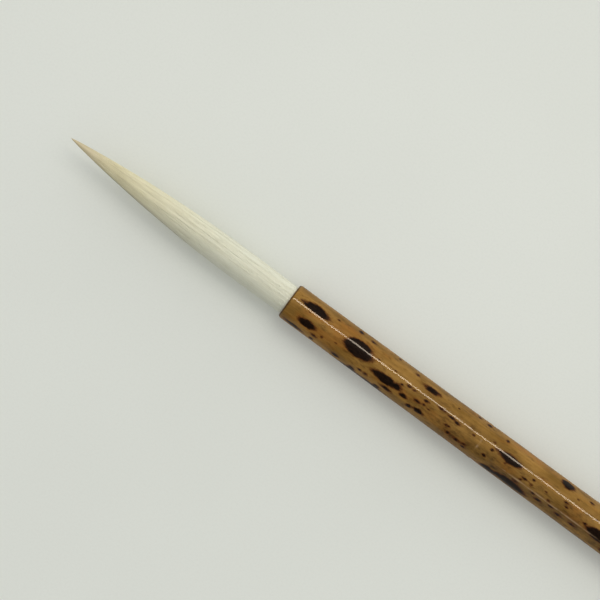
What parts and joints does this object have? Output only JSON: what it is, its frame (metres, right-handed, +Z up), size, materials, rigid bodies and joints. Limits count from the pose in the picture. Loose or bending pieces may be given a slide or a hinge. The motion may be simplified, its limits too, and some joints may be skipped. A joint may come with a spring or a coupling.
{
  "type": "calligraphy brush",
  "caption": "Calligraphy brush with a soft white goat-hair tuft that bends and springs back, held in the socket of a mottled bamboo handle.",
  "frame": {"origin": "on the level surface that the brush lies on, under the middle of its whole length", "axes": "+X along the brush towards the butt of the handle, -X towards the hair point, +Z up from the surface it lies on, +Y to the side"},
  "size_m": [0.246, 0.0084, 0.0084],
  "materials": {
    "bamboo": "golden brown mottled bamboo with near-black spots, thin glossy lacquer",
    "plug_wood": "dark turned hardwood, satin",
    "cover_hair": "fine straight goat hair, cream white near the handle and straw yellow at the point, silky",
    "inner_hair": "fine straight goat hair, cream, silky",
    "thread": "twisted silk binding thread",
    "glue": "dried amber hide glue",
    "resin": "dark pine resin"
  },
  "bodies": {
    "handle": {"bamboo_handle": "bamboo", "butt_plug": "plug_wood", "core_hair_root": "inner_hair", "belly_hair_root": "inner_hair", "cover_hair_root": "cover_hair", "core_thread": "thread", "cover_thread": "thread", "socket_glue": "glue", "root_seal": "resin"},
    "tuft_lower": {"core_hair_lower": "inner_hair", "belly_hair_lower": "inner_hair", "cover_hair_lower": "cover_hair"},
    "tuft_middle": {"core_hair_middle": "inner_hair", "belly_hair_middle": "inner_hair", "cover_hair_middle": "cover_hair"},
    "tuft_upper": {"core_hair_upper": "inner_hair", "cover_hair_upper": "cover_hair"},
    "tuft_point": {"hair_point": "cover_hair"}
  },
  "joints": [
    {"name": "bend_near", "type": "hinge", "parent": "handle", "child": "tuft_lower", "pos_m": [-0.085, 0, 0.00356], "axis": [0, 1, 0], "range_deg": [-25, 25], "stiffness_Nm_per_rad": 0.004},
    {"name": "sway_near", "type": "hinge", "parent": "tuft_lower", "child": "tuft_middle", "pos_m": [-0.094, 0, 0.00354], "axis": [-0.0031, 0, 1], "range_deg": [-25, 25], "stiffness_Nm_per_rad": 0.004},
    {"name": "bend_far", "type": "hinge", "parent": "tuft_middle", "child": "tuft_upper", "pos_m": [-0.103, 0, 0.00351], "axis": [0, 1, 0], "range_deg": [-25, 25]},
    {"name": "sway_far", "type": "hinge", "parent": "tuft_upper", "child": "tuft_point", "pos_m": [-0.112, 0, 0.00348], "axis": [-0.0031, 0, 1], "range_deg": [-25, 25]}
  ],
  "couplings": [
    {"joint": "bend_far", "follows": "bend_near", "ratio": 1},
    {"joint": "sway_far", "follows": "sway_near", "ratio": 1}
  ]
}
